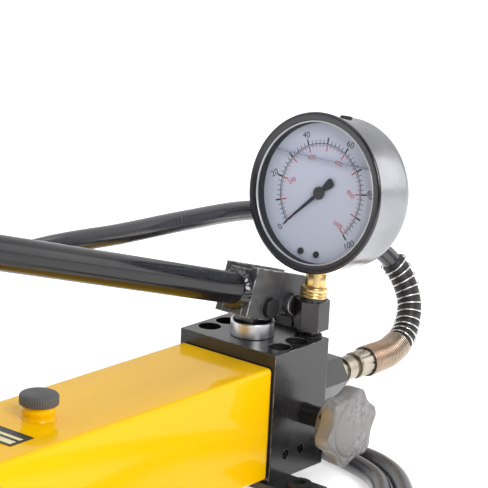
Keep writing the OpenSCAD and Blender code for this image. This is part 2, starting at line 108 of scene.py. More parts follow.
def sharpen(obj, degrees=50):
    """Marks edges sharper than the angle, so that smooth shading stops there."""
    bm = bmesh.new()
    bm.from_mesh(obj.data)
    for e in bm.edges:
        e.smooth = not (len(e.link_faces) == 2 and e.calc_face_angle(0) > math.radians(degrees))
    bm.to_mesh(obj.data)
    bm.free()


def tube(name, path, radius, mat, body, sides):
    """A closed round tube along points in metres, without twist. radius in mm, or a function of 0..1."""
    n = len(path)
    tang = [(path[min(i + 1, n - 1)] - path[max(i - 1, 0)]).normalized() for i in range(n)]
    s = Vector((0, 1, 0))
    verts, faces = [], []
    for i in range(n):
        s = (s - tang[i] * s.dot(tang[i])).normalized()
        u = tang[i].cross(s)
        r = radius(i / (n - 1)) if callable(radius) else radius
        for j in range(sides):
            a = 2 * math.pi * j / sides
            verts.append(path[i] + (s * math.cos(a) + u * math.sin(a)) * r * MM)
    for i in range(n - 1):
        for j in range(sides):
            k = (j + 1) % sides
            faces.append((i * sides + j, i * sides + k, (i + 1) * sides + k, (i + 1) * sides + j))
    faces.append(tuple(range(sides))[::-1])
    faces.append(tuple((n - 1) * sides + j for j in range(sides)))
    return new_piece(name, verts, faces, mat, body)


def catmull(points, u):
    """The point at u on a smooth curve through the points; u counts spans from the first point."""
    i = min(int(u), len(points) - 2)
    t = u - i
    a, b = points[max(i - 1, 0)], points[i]
    c, d = points[i + 1], points[min(i + 2, len(points) - 1)]
    return 0.5 * (2 * b + (c - a) * t + (2 * a - 5 * b + 4 * c - d) * t * t + (3 * b - a - 3 * c + d) * t**3)


def helix(line, radius, turns):
    """Points of a helix of that many turns round a line. radius in mm, or a function of 0..1."""
    n = len(line)
    s = Vector((0, 1, 0))
    out = []
    for i in range(n):
        t = (line[min(i + 1, n - 1)] - line[max(i - 1, 0)]).normalized()
        s = (s - t * s.dot(t)).normalized()
        a = 2 * math.pi * turns * i / (n - 1)
        r = radius(i / (n - 1)) if callable(radius) else radius
        out.append(line[i] + (s * math.cos(a) + t.cross(s) * math.sin(a)) * r * MM)
    return out


# ---------------------------------------------------------------- materials
NOISE_RANGE = (0.35, 0.65)  # where most of the noise texture's values lie
TINT_SCALE, TINT_RANGE = 9.0, (0.45, 0.62)
WEAR_GLINT_SCALE, WEAR_GLINT_RANGE = 160.0, (0.40, 0.62)
WEAR_GLINT_COSINE = (0.80, 0.985)  # between the face's normal and the rounded one: the edge colour in full, and not at all
GLOSS_SCALE = 60.0


def material(name, color, rough=0.4, metal=0.0, vary=0.12, cloud=25.0, tint=None, edge=0.35, wear_and_glint=None,
             wear_glint_amount=0.6, rough_vary=0.06, bump=0.02, grain=900.0, grain_detail=4.0, wave=None,
             wave_height=0.15, sockets=None):
    """A procedural finish. The colour is mottled by vary at the noise scale cloud, with broad patches of
    tint; the gloss is uneven by rough_vary. Edges look rounded by edge mm, and show the colour
    wear_and_glint, partly rubbed paint and partly a painted highlight. bump and wave_height are mm of
    fine grain and of slow unevenness, at the noise scales grain and wave."""
    m = bpy.data.materials.new(name)
    m.use_nodes = True
    nt = m.node_tree
    bsdf = nt.nodes["Principled BSDF"]
    bsdf.inputs["Metallic"].default_value = metal
    for key, value in (sockets or {}).items():
        bsdf.inputs[key].default_value = value
    coord = nt.nodes.new("ShaderNodeTexCoord")

    def tex(scale, detail):
        n = nt.nodes.new("ShaderNodeTexNoise")
        n.inputs["Scale"].default_value = scale
        n.inputs["Detail"].default_value = detail
        nt.links.new(coord.outputs["Object"], n.inputs["Vector"])
        return n.outputs["Fac"]

    def remap(src, a, b, span=NOISE_RANGE):
        r = nt.nodes.new("ShaderNodeMapRange")
        r.inputs["From Min"].default_value, r.inputs["From Max"].default_value = span
        r.inputs["To Min"].default_value, r.inputs["To Max"].default_value = a, b
        nt.links.new(src, r.inputs["Value"])
        return r.outputs["Result"]

    def mix(fac, a, b):
        x = nt.nodes.new("ShaderNodeMix")
        x.data_type = "RGBA"
        nt.links.new(fac, x.inputs["Factor"])
        for sock, v in ((x.inputs["A"], a), (x.inputs["B"], b)):
            if isinstance(v, tuple):
                sock.default_value = (*v, 1.0)
            else:
                nt.links.new(v, sock)
        return x.outputs["Result"]

    def relief(src, strength, height, below=None):
        n = nt.nodes.new("ShaderNodeBump")
        n.inputs["Strength"].default_value = strength
        n.inputs["Distance"].default_value = height * MM
        nt.links.new(src, n.inputs["Height"])
        if below:
            nt.links.new(below, n.inputs["Normal"])
        return n.outputs["Normal"]

    dark = tuple(max(0.0, c * (1 - vary)) for c in color)
    light = tuple(min(1.0, c * (1 + vary)) for c in color)
    base = mix(remap(tex(cloud, 5.0), 0.0, 1.0), dark, light)
    if tint:
        base = mix(remap(tex(TINT_SCALE, 3.0), 0.0, 1.0, TINT_RANGE), base, tint)
    rounded = None
    if edge:
        bevel = nt.nodes.new("ShaderNodeBevel")
        bevel.samples = 6
        bevel.inputs["Radius"].default_value = edge * MM
        rounded = bevel.outputs["Normal"]
    # lighter colour on the rounded edges, broken up by noise: partly rubbed paint, partly a painted highlight
    if wear_and_glint:
        geo = nt.nodes.new("ShaderNodeNewGeometry")
        dot = nt.nodes.new("ShaderNodeVectorMath")
        dot.operation = "DOT_PRODUCT"
        nt.links.new(geo.outputs["Normal"], dot.inputs[0])
        nt.links.new(rounded, dot.inputs[1])
        wear_glint_mask = nt.nodes.new("ShaderNodeMath")
        wear_glint_mask.operation = "MULTIPLY"
        nt.links.new(remap(dot.outputs["Value"], 1.0, 0.0, WEAR_GLINT_COSINE), wear_glint_mask.inputs[0])
        nt.links.new(remap(tex(WEAR_GLINT_SCALE, 4.0), 0.0, wear_glint_amount, WEAR_GLINT_RANGE), wear_glint_mask.inputs[1])
        base = mix(wear_glint_mask.outputs[0], base, wear_and_glint)
    nt.links.new(base, bsdf.inputs["Base Color"])
    gloss = remap(tex(GLOSS_SCALE, 6.0), max(0.02, rough - rough_vary), rough + rough_vary)
    nt.links.new(gloss, bsdf.inputs["Roughness"])
    if bump:
        normal = relief(tex(grain, grain_detail), 0.5, bump, rounded)
        if wave:
            normal = relief(tex(wave, 2.0), 1.0, wave_height, normal)
        nt.links.new(normal, bsdf.inputs["Normal"])
    return m


def clear_material(name, color, rough, alpha, specular):
    """A see-through finish for the gauge's window and liquid."""
    m = bpy.data.materials.new(name)
    m.use_nodes = True
    bsdf = m.node_tree.nodes["Principled BSDF"]
    bsdf.inputs["Base Color"].default_value = (*color, 1.0)
    bsdf.inputs["Roughness"].default_value = rough
    bsdf.inputs["Alpha"].default_value = alpha
    bsdf.inputs["Specular IOR Level"].default_value = specular
    return m


GLOSS_COAT = {"Coat Weight": 0.7, "Coat Roughness": 0.1}
M = {
    "yellow": material("tank_paint", (1.0, 0.56, 0.0003), 0.24, vary=0.006, bump=0.006, grain=350, wave=30,
                       wave_height=0.012, edge=0.6, sockets={"Coat Weight": 0.9, "Coat Roughness": 0.06,
                                                             "Coat IOR": 1.25, "Specular IOR Level": 0.05}),
    # the block's pale edge colour is partly rubbed paint, partly a painted highlight along its edges
    "block": material("block_paint", (0.021, 0.020, 0.021), 0.26, vary=0.2, cloud=60, bump=0.03, grain=1500,
                      edge=1.0, wear_and_glint=(0.42, 0.39, 0.36), wear_glint_amount=0.9,
                      sockets={"Specular IOR Level": 0.5, "Coat Weight": 0.55, "Coat Roughness": 0.16,
                               "Coat IOR": 1.3}),
    "oxide": material("black_oxide", (0.012, 0.012, 0.013), 0.38, 0.3, vary=0.3, bump=0.01),
    # the yoke's near-white edge colour is mostly a painted highlight along the plates' edges, partly rubbed
    # paint
    "yoke": material("yoke_paint", (0.055, 0.055, 0.059), 0.40, vary=0.3, cloud=160, bump=0.10, grain=420,
                     wave=120, wave_height=0.06, edge=1.5, wear_and_glint=(0.85, 0.85, 0.86), wear_glint_amount=1.0,
                     sockets={"Coat Weight": 0.12, "Coat Roughness": 0.2}),
    "weld": material("weld_paint", (0.014, 0.014, 0.016), 0.22, vary=0.15, bump=0.10, grain=300, wave=160,
                     wave_height=0.3, edge=0.6, sockets=GLOSS_COAT),
    "tube": material("tube_paint", (0.008, 0.008, 0.010), 0.22, vary=0.15, bump=0.008, grain=300, wave=50,
                     wave_height=0.03, sockets={"Specular IOR Level": 0.3, "Coat Weight": 0.25,
                                                "Coat Roughness": 0.06}),
    "dark_steel": material("dark_steel", (0.10, 0.10, 0.10), 0.35, 0.9, vary=0.25, bump=0.02),
    "strap": material("strap_paint", (0.016, 0.016, 0.018), 0.4, vary=0.2, bump=0.06, grain=500),
    "rubber": material("black_rubber", (0.016, 0.016, 0.017), 0.55, vary=0.2, bump=0.05, grain=700),
    "hose": material("hose_cover", (0.021, 0.021, 0.029), 0.30, vary=0.12, cloud=120, bump=0.02, grain=600,
                     edge=0, sockets={"Specular IOR Level": 0.8, "Coat Weight": 0.6, "Coat Roughness": 0.12}),
    "wrap": material("hose_wrap", (0.020, 0.019, 0.019), 0.42, vary=0.3, cloud=300, bump=0.08, grain=900,
                     edge=0),
    "chrome": material("polished_ring", (0.74, 0.74, 0.76), 0.36, 1.0, vary=0.03, bump=0.004, grain=2000),
    "steel": material("plain_steel", (0.52, 0.51, 0.49), 0.3, 1.0, vary=0.1, bump=0.01, grain=1500),
    "pin": material("pin_steel", (0.045, 0.045, 0.046), 0.34, 0.6, vary=0.25, bump=0.02, grain=900, edge=0.5,
                    wear_and_glint=(0.25, 0.25, 0.25)),
    "brass": material("brass", (0.80, 0.585, 0.27), 0.34, 1.0, vary=0.08, bump=0.006, grain=1600,
                      tint=(0.70, 0.47, 0.17)),
    "zinc": material("zinc_plate", (0.50, 0.455, 0.38), 0.30, 1.0, vary=0.16, cloud=90, bump=0.015,
                     grain=1200, tint=(0.40, 0.35, 0.27)),
    "copper": material("copper_wire", (0.56, 0.40, 0.29), 0.33, 1.0, vary=0.15, cloud=80, bump=0.01, edge=0,
                       tint=(0.50, 0.42, 0.34)),
    "washer": material("copper_washer", (0.62, 0.34, 0.20), 0.35, 1.0, vary=0.1, bump=0.01),
    "spring": material("spring_wire", (0.74, 0.73, 0.71), 0.22, 1.0, vary=0.08, bump=0.004, edge=0),
    "case": material("case_chrome", (0.36, 0.365, 0.385), 0.22, 1.0, vary=0.16, cloud=18, bump=0.006, wave=26,
                     wave_height=0.35, rough_vary=0.08),
    "gasket_shade": material("bezel_gasket_shade", (0.006, 0.006, 0.008), 0.6, vary=0.1, bump=0.0, edge=0),
    "bezel": material("bezel_black", (0.010, 0.010, 0.015), 0.22, vary=0.15, bump=0.01, sockets=GLOSS_COAT),
    "dial": material("dial_face", (0.58, 0.62, 0.76), 0.5, vary=0.03, cloud=12, bump=0.0, edge=0),
    "ink": material("dial_ink", (0.012, 0.012, 0.02), 0.6, vary=0.1, bump=0.0, edge=0),
    "red": material("dial_red", (0.50, 0.03, 0.06), 0.6, vary=0.1, bump=0.0, edge=0),
    "cast": material("cast_knob", (0.30, 0.303, 0.32), 0.42, 0.4, vary=0.7, cloud=260, bump=0.6, grain=700,
                     grain_detail=10.0, edge=1.1, tint=(0.26, 0.25, 0.24), wear_and_glint=(0.80, 0.79, 0.78)),
    "cap": material("cap_plastic", (0.095, 0.093, 0.097), 0.45, vary=0.15, bump=0.04, grain=800),
    "plate": material("plate_black", (0.025, 0.025, 0.025), 0.4, vary=0.1, bump=0.0),
    "cream": material("plate_cream", (0.88, 0.80, 0.45), 0.4, vary=0.04, bump=0.0),
    "window": clear_material("gauge_window", (0.25, 0.28, 0.34), 0.03, alpha=0.035, specular=0.3),
    "liquid": clear_material("liquid_edge", (0.45, 0.50, 0.62), 0.08, alpha=0.45, specular=0.5),
}

# ---------------------------------------------------------------- finishes on the CAD nodes
FINISH = {
    "yellow": ["tank", "filler_neck"],
    "block": ["pump_block", "tank_end", "link_lug", "outlet_adapter", "gauge_adapter"],
    "oxide": ["block_screws", "valve_screws", "lug_screws", "dial_screws", "release_gland"],
    "yoke": ["yoke_plates", "yoke_web", "weld_beads", "link_plates"],
    "tube": ["handle_tube"],
    "dark_steel": ["piston"],
    "strap": ["front_foot", "rear_foot"],
    "rubber": ["grip", "piston_seal", "tank_gaskets", "adapter_seal", "foot_bushes"],
    "hose": ["hose"],
    "chrome": ["gland_ring"],
    "steel": ["suction_valve", "discharge_valve", "tie_rod", "tie_nut", "dipstick", "foot_screws",
              "release_ball", "release_spindle", "coupler_body", "coupler_sleeve"],
    "pin": ["pin_a", "pin_b", "pin_c"],
    "brass": ["suction_pipe", "strainer", "gauge_stem", "gauge_movement", "bourdon_tube"],
    "zinc": ["hose_nipple", "hose_ferrule", "coupler_ferrule"],
    "copper": ["guard_coil"],
    "washer": ["outlet_washer"],
    "spring": ["guard_spring"],
    "case": ["gauge_case"],
    "bezel": ["gauge_bezel"],
    "window": ["gauge_glass"],
    "dial": ["gauge_dial"],
    "ink": ["gauge_pointer"],
    "cast": ["release_knob"],
    "cap": ["filler_cap"],
    "plate": ["top_plate"],
}


GRID = 2e5  # steps per metre; corners in one step count as the same
SLIVER = 2e-9  # a face's area, in square metres, too small to trust its normal
CURVE_MIN, CURVE_MAX = math.radians(1.0), math.radians(32)  # the bend between two facets of one curve


def tidy_shading(obj):
    """Smooth shading on the curved faces only, so that flat faces stay flat and edges crisp."""
    me = obj.data
    if "custom_normal" in me.attributes:
        me.attributes.remove(me.attributes["custom_normal"])
    key = [tuple(round(c * GRID) for c in v.co) for v in me.vertices]
    beside = {}
    for poly in me.polygons:
        ring = list(poly.vertices)
        for a, b in zip(ring, ring[1:] + ring[:1]):
            beside.setdefault(frozenset((key[a], key[b])), []).append(poly.index)
    curved = set()
    for pair in beside.values():
        if len(pair) != 2:
            continue
        a, b = (me.polygons[k] for k in pair)
        if min(a.area, b.area) < SLIVER:
            continue
        if CURVE_MIN < a.normal.angle(b.normal, 0.0) < CURVE_MAX:
            curved.update(pair)
    for poly in me.polygons:
        poly.use_smooth = poly.index in curved
    w = obj.modifiers.new("weld", "WELD")
    w.merge_threshold = 4e-6
    e = obj.modifiers.new("crisp", "EDGE_SPLIT")
    e.split_angle = math.radians(33)


for finish, names in FINISH.items():
    for name in names:
        node = nodes[name]
        node.data.materials.clear()
        node.data.materials.append(M[finish])
        tidy_shading(node)

# ---------------------------------------------------------------- gauge
LEAN = math.radians(9)
GAUGE = at(22.5, -29, 121)  # foot of the stem
AXIS = Vector((math.cos(LEAN), 0, -math.sin(LEAN)))  # from the front to the back of the gauge
UP = Vector((math.sin(LEAN), 0, math.cos(LEAN)))
RIGHT = Vector((0, -1, 0))  # to the viewer's right on the dial
DIAL = GAUGE + UP * 70 * MM  # on the gauge's axis, where depth is 0


def on_dial(angle, radius, depth):
    """A point at a clock angle in degrees from straight down, clockwise, at that depth in mm."""
    a = math.radians(angle)
    return DIAL + AXIS * depth * MM + (-UP * math.cos(a) - RIGHT * math.sin(a)) * radius * MM


def gauge_turned(name, profile, mat, body="pump_frame", seg=160, ripple=None):
    """A piece turned round the gauge's axis. profile is (radius, depth) in mm."""
    return lathe(name, profile, DIAL, AXIS, mat, body, seg=seg, side=UP, ripple=ripple)


def dents(a, i):
    """A slow unevenness, so that the pressed case's reflections waver."""
    return 1.0 + 0.0016 * noise.noise(Vector((3 * math.cos(a), 3 * math.sin(a), i * 0.7)))


case = gauge_turned("gauge_case_shell", [
    (47.8, -15.6), (49.8, -15.6), (49.8, -11.0), (49.8, -4.0), (49.8, 5.0), (49.8, 14.0),
    (49.7, 17.0), (49.2, 19.2), (48.0, 20.8), (46.5, 21.6), (44.0, 22.0), (30.0, 22.0), (12.0, 21.9),
    (0.0, 21.9), (0.0, 17.8), (46.0, 18.0), (47.8, 17.0)], M["case"],
    ripple=dents)
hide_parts("gauge_case")
bezel = gauge_turned("gauge_bezel_ring", [
    (47.5, -15.4), (51.7, -15.4), (52.1, -15.6), (52.35, -16.0), (52.4, -16.8), (52.2, -17.5),
    (51.6, -17.95), (50.8, -18.0), (49.6, -17.85), (48.2, -17.6), (47.2, -17.4), (46.85, -17.2),
    (46.8, -15.4)], M["bezel"])
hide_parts("gauge_bezel")
gauge_turned("gauge_inner_ring", [
    (46.85, -17.2), (46.6, -17.35), (46.25, -17.3), (46.05, -17.1), (46.0, -16.7), (46.0, -15.95),
    (46.85, -15.95)], M["chrome"])
# a near-black ring on the window's inner wall: partly a gasket, partly painted shade of that wall
gauge_turned("gauge_gasket_shade_ring", [
    (47.4, -15.9), (46.1, -15.9), (45.8, -15.5), (45.6, -14.8), (45.6, -10.1), (47.4, -10.1)],
    M["gasket_shade"])
window = gauge_turned("gauge_window_pane", [
    (47.4, -15.9), (0.0, -15.9), (0.0, -13.15), (47.4, -13.15)], M["window"], seg=96)
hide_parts("gauge_glass")
face = gauge_turned("gauge_face", [
    (47.4, -10.0), (1.8, -10.0), (1.8, -8.8), (47.4, -8.8)], M["dial"], seg=96)
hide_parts("gauge_dial")

PRINT = 0.06  # thickness of printed marks, mm
DIAL_FACE = -10.06  # depth of the print's front; the dial's own face is at -10
SWEEP0, SWEEP = 45.0, 270.0  # clock angles from straight down: of zero, and from zero to full scale
DIVISIONS, MAJOR = 50, 5
OUTER_LINE, INNER_LINE = 32.2, 31.2


def marks(name, mat, long_mark, short_mark):
    """The ticks of a scale, every fifth one long, as thin raised bars: (inner r, outer r, width) in mm."""
    jobs = [(SWEEP0 + SWEEP * i / DIVISIONS, *(short_mark if i % MAJOR else long_mark))
            for i in range(DIVISIONS + 1)]
    verts, faces = [], []
    for angle, r0, r1, w in jobs:
        base = len(verts)
        for depth in (DIAL_FACE, DIAL_FACE + PRINT):
            for r in (r0, r1):
                for s in (-1, 1):
                    verts.append(on_dial(angle + math.degrees(s * w / 2 / r), r, depth))
        box = [(0, 1, 3, 2), (4, 6, 7, 5), (0, 4, 5, 1), (2, 3, 7, 6), (0, 2, 6, 4), (1, 5, 7, 3)]
        faces += [tuple(base + k for k in q) for q in box]
    new_piece(name, verts, faces, mat, "pump_frame", smooth=False)


def arc(name, mat, radius, width):
    """The line along a scale, as a thin raised band."""
    steps = 120
    verts, faces = [], []
    for i in range(steps + 1):
        angle = SWEEP0 + SWEEP * i / steps
        for depth in (DIAL_FACE, DIAL_FACE + PRINT):
            for r in (radius - width / 2, radius + width / 2):
                verts.append(on_dial(angle, r, depth))
    for i in range(steps):
        a, b = 4 * i, 4 * i + 4
        faces += [(a, a + 1, b + 1, b), (a + 2, b + 2, b + 3, a + 3), (a, b, b + 2, a + 2),
                  (a + 1, a + 3, b + 3, b + 1)]
    faces += [(0, 2, 3, 1), (4 * steps, 4 * steps + 1, 4 * steps + 3, 4 * steps + 2)]
    obj = new_piece(name, verts, faces, mat, "pump_frame", smooth=False)
    fix_normals(obj)


marks("dial_outer_ticks", M["ink"], (OUTER_LINE, 36.4, 1.05), (OUTER_LINE, 34.7, 0.42))
marks("dial_inner_ticks", M["red"], (27.4, INNER_LINE, 0.8), (29.3, INNER_LINE, 0.34))
arc("dial_line_outer", M["ink"], OUTER_LINE, 0.5)
arc("dial_line_inner", M["ink"], INNER_LINE, 0.3)


def numeral(name, text, angle, radius, size, mat, turn=None):
    """Figures beside the scale, as solid raised print. turn is clockwise, in degrees; without it the
    figures fan out with their place on the scale."""
    curve = bpy.data.curves.new(name, "FONT")
    curve.body = text
    curve.size = size * MM
    curve.align_x = "CENTER"
    curve.align_y = "CENTER"
    curve.extrude = PRINT / 2 * MM
    obj = bpy.data.objects.new(name + "_src", curve)
    bpy.context.scene.collection.objects.link(obj)
    bpy.context.view_layer.update()
    mesh = bpy.data.meshes.new_from_object(obj.evaluated_get(bpy.context.evaluated_depsgraph_get()))
    bpy.data.objects.remove(obj)
    turn = (angle - 180) * 0.45 if turn is None else turn
    out = on_dial(angle, radius, DIAL_FACE + PRINT / 2)
    a = math.radians(turn)
    x = RIGHT * math.cos(a) - UP * math.sin(a)
    y = UP * math.cos(a) + RIGHT * math.sin(a)
    rot = Matrix((x, y, x.cross(y))).transposed().to_4x4()
    mesh.transform(Matrix.Translation(out) @ rot)
    piece = bpy.data.objects.new(name, mesh)
    bpy.context.scene.collection.objects.link(piece)
    mesh.materials.clear()
    mesh.materials.append(mat)
    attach(piece, "pump_frame")


LAST = 5  # the last figures lie along the rim, at their own radius and turn
for step in range(LAST + 1):
    angle = SWEEP0 + SWEEP * step / LAST
    outer_r, outer_turn = (40.4, -30) if step == LAST else (39.2, None)
    inner_r, inner_turn = (24.6, 14) if step == LAST else (24.0, None)
    numeral(f"dial_outer_{step}", str(step * 20), angle, outer_r, 5.8, M["ink"], outer_turn)
    if step:  # the two scales share their zero
        numeral(f"dial_inner_{step}", str(step * 200), angle, inner_r, 4.3, M["red"], inner_turn)

# along the pointer, from its tail to its tip: (distance from the hub, half width) in mm
POINTER = [(-13.5, 1.6), (-13.0, 2.6), (-11.5, 3.2), (-7.0, 2.4), (-4.5, 1.5), (-1.0, 1.4), (6.0, 1.2),
           (22.0, 0.75), (30.0, 0.45), (33.5, 0.12)]
POINTER_LAYERS = ((-12.0, 0.8), (-11.8, 1.0), (-11.3, 1.0))  # (depth, share of the width)


def build_pointer():
    """The needle, at zero: flat, with its front edges rounded off."""
    verts, faces = [], []
    out = -UP * math.cos(math.radians(SWEEP0)) - RIGHT * math.sin(math.radians(SWEEP0))
    side = AXIS.cross(out)
    for d, w in POINTER:
        for depth, k in POINTER_LAYERS:
            for s in (-1, 1):
                verts.append(DIAL + AXIS * depth * MM + (out * d + side * w * s * k) * MM)
    n = len(POINTER)
    for i in range(n - 1):
        a, b = 6 * i, 6 * i + 6
        for p, q in ((0, 1), (1, 3), (3, 5), (5, 4), (4, 2), (2, 0)):
            faces.append((a + p, a + q, b + q, b + p))
    faces.append((0, 2, 4, 5, 3, 1))
    last = 6 * (n - 1)
    faces.append(tuple(last + k for k in (1, 3, 5, 4, 2, 0)))
    obj = new_piece("pointer_needle", verts, faces, M["ink"], "pointer", smooth=False)
    fix_normals(obj)
    return obj


needle = build_pointer()
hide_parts("gauge_pointer")
hub = gauge_turned("pointer_hub", [
    (0.0, -12.8), (1.2, -12.8), (1.5, -12.6), (1.6, -12.4), (3.8, -12.35), (4.2, -12.1), (4.2, -10.9),
    (1.5, -10.7), (1.5, 1.9), (0.0, 1.9)], M["pin"], body="pointer", seg=48)
sharpen(hub, 35)


def liquid_line():
    """The top of the liquid that damps the gauge: a thin level film between the dial and the window."""
    level, inner_r = 21.5, 45.5  # mm above the dial's centre, and the inside of the gasket
    steps = 24
    film = ((-13.1, 0.5), (-12.8, 0.05), (-10.5, 0.0), (-10.1, 0.45))  # (depth, lift) where it wets the walls
    verts, faces = [], []
    half = math.sqrt(inner_r**2 - level**2)
    for i in range(steps + 1):
        y = half * (2 * i / steps - 1)
        edge = 0.5 * (abs(2 * i / steps - 1)) ** 6
        for depth, lift in film:
            verts.append(DIAL + AXIS * depth * MM + (RIGHT * y + UP * (level + lift + edge)) * MM)
    for i in range(steps):
        for k in range(3):
            a = 4 * i + k
            faces.append((a, a + 1, a + 5, a + 4))
    obj = new_piece("gauge_liquid_line", verts, faces, M["liquid"], "pump_frame")
    solid = obj.modifiers.new("film", "SOLIDIFY")
    solid.thickness = 0.25 * MM


liquid_line()

stem = lathe("gauge_stem_collar", [
    (0.0, 0.2), (7.6, 0.2), (8.6, 0.5), (8.9, 1.0), (8.9, 1.7), (8.5, 2.1), (8.2, 2.4), (8.5, 2.7),
    (8.9, 3.1), (8.9, 3.8), (8.5, 4.2), (8.2, 4.5), (8.5, 4.8), (8.9, 5.2), (8.9, 7.0), (8.4, 7.7),
    (7.4, 8.1), (6.6, 8.3), (6.6, 16.0), (6.4, 20.0), (0.0, 20.0)],
    GAUGE, UP, M["brass"], "pump_frame", seg=64)
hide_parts("gauge_stem")


def stem_square():
    """The stem's spanner flats: a square with cut corners."""
    half, cut = 6.2, 0.86  # mm, and where each corner's cut begins as a share of the half width
    turn = math.radians(48)
    corners = ((-cut, -1), (cut, -1), (1, -cut), (1, cut), (cut, 1), (-cut, 1), (-1, cut), (-1, -cut))
    square = [(s * half, t * half) for s, t in corners]
    verts, faces = [], []
    for height, scale in ((7.9, 0.9), (8.6, 1.0), (16.2, 1.0), (17.0, 0.92)):
        for u, v in square:
            a = (u * math.cos(turn) - v * math.sin(turn)) * scale
            b = (u * math.sin(turn) + v * math.cos(turn)) * scale
            verts.append(GAUGE + (AXIS * a + AXIS.cross(UP) * b + UP * height) * MM)
    for k in range(3):
        for i in range(8):
            faces.append((8 * k + i, 8 * k + (i + 1) % 8, 8 * k + 8 + (i + 1) % 8, 8 * k + 8 + i))
    faces += [tuple(range(8)), tuple(range(24, 32))]
    flats = new_piece("gauge_stem_square", verts, faces, M["brass"], "pump_frame")
    fix_normals(flats)


stem_square()

# ---------------------------------------------------------------- hose and its springs
# the route of the hose's centre line: chosen points, in block-centred mm
HOSE = [
    (84, -22, 59), (104, -22, 59), (126.5, -21.5, 60), (149, -17.2, 67.3), (163.3, -9.6, 85.3),
    (162.7, 1.4, 106.6), (148.8, 11.5, 123.8), (120.5, 21.5, 139.6), (84, 28, 155),
    (31, 34.5, 166), (-29, 39.5, 168.5), (-86, 45, 168.5), (-140, 58, 167), (-192, 87, 153),
    (-219, 128, 112), (-213, 153, 65), (-182, 161, 25), (-132, 155, 8), (-68, 137, 6.7),
    (-6, 108, 6.7), (37, 71, 6.7), (52, 18, 6.7), (49.3, -36, 6.7), (29.5, -86, 6.7),
    (-20, -115, 6.7), (-95, -110, 6.7), (-187, -96, 6.7), (-226, -118, 6.7), (-239, -157, 6.7),
    (-219, -192, 6.7), (-176, -204, 6.7), (-118, -193, 6.7), (-56, -165, 6.7), (-5, -135, 6.7),
    (39.8, -96, 6.7), (57.6, -67.5, 6.7), (63.8, -36, 6.7), (79, 6, 8.7), (89.5, 38, 13.6),
    (90, 54, 14)]
HOSE_R = 6.7
COIL_TURNS, SPRING_TURNS, WRAP_RIBS = 24, 11, 50
route = [at(*p) for p in HOSE]


def along(start, spans, steps):
    """Points along the hose, from a place counted in spans of the route and over that many spans."""
    return [catmull(route, start + spans * i / steps) for i in range(steps + 1)]


def coil_radius(k):
    """The guard coil's middle radius in mm, which tapers along it; k runs from 0 to 1."""
    return 10.25 - 0.75 * k


def wrap_radius(k):
    """The wrap's radius in mm, with fine ribs along it; k runs from 0 to 1."""
    return 8.5 - 0.22 * (0.5 + 0.5 * math.cos(2 * math.pi * WRAP_RIBS * k))


hose_line = along(0, len(route) - 1, 560)
hose = tube("hose_run", hose_line, HOSE_R, M["hose"], "pump_frame", sides=28)
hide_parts("hose")

coil_line = along(0.65, 1.8, 760)
coil = tube("guard_coil_wire", helix(coil_line, coil_radius, COIL_TURNS), 0.62, M["copper"], "pump_frame",
            sides=8)
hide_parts("guard_coil")
# a dark sleeve that fills the coil, so that the gaps between its turns show painted shade
tube("guard_coil_shade_core", coil_line[::38], lambda k: coil_radius(k) - 0.5, M["oxide"], "pump_frame",
     sides=32)

spring_line = along(2.5, 2.85, 460)
spring = tube("guard_spring_wire", helix(spring_line, 9.45, SPRING_TURNS), 0.6, M["spring"], "pump_frame",
              sides=10)
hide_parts("guard_spring")
tube("guard_hose_wrap", along(2.2, 3.12, 300), wrap_radius, M["wrap"], "pump_frame", sides=40)


FLUTES, FLUTE_DEPTH = 9, 0.085


def flutes(angle, i):
    """The crimp's flutes, on the ferrule's middle rows only."""
    return 1.0 - (FLUTE_DEPTH * max(0.0, math.cos(FLUTES * angle)) ** 4 if 4 <= i <= 9 else 0.0)


ferrule = lathe("hose_ferrule_crimped", [
    (6.75, 85.0), (6.75, 103.2), (8.3, 103.2), (8.9, 102.6), (9.3, 100.5), (9.35, 98.0), (9.2, 96.0),
    (9.15, 90.0), (9.2, 85.5), (9.3, 84.0), (9.3, 82.8), (8.8, 82.1), (7.4, 82.0), (6.0, 82.05)],
    at(0, -22, 59), (1, 0, 0), M["zinc"], "pump_frame", seg=128, ripple=flutes)
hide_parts("hose_ferrule")

# ---------------------------------------------------------------- release knob
KNOB_C = at(5.6, 0, 48.4)
LOBES = 6
LOBE_TURN = math.radians(13)
RIM_R = 26.0
SCALLOP_R, SCALLOP_AT = 16.0, 38.2  # the cut's radius, and its centre's distance from the axis
BLEND = 10 / 7  # mm over which rim and scallop run into each other


def lobe_radius(theta, inset):
    """Six round lobes with scallops between them; inset pulls the rim in for the rounded edges."""
    half = math.pi / LOBES
    from_lobe = abs((theta - LOBE_TURN + half) % (2 * half) - half)
    gap = half - from_lobe  # the angle from the nearest scallop's middle
    rim, cut = RIM_R - inset, SCALLOP_R + inset
    s = SCALLOP_AT * math.sin(gap)
    if abs(s) >= cut:
        return rim
    hollow = SCALLOP_AT * math.cos(gap) - math.sqrt(cut**2 - s**2)
    return -math.log(math.exp(-rim / BLEND) + math.exp(-hollow / BLEND)) * BLEND  # a soft minimum


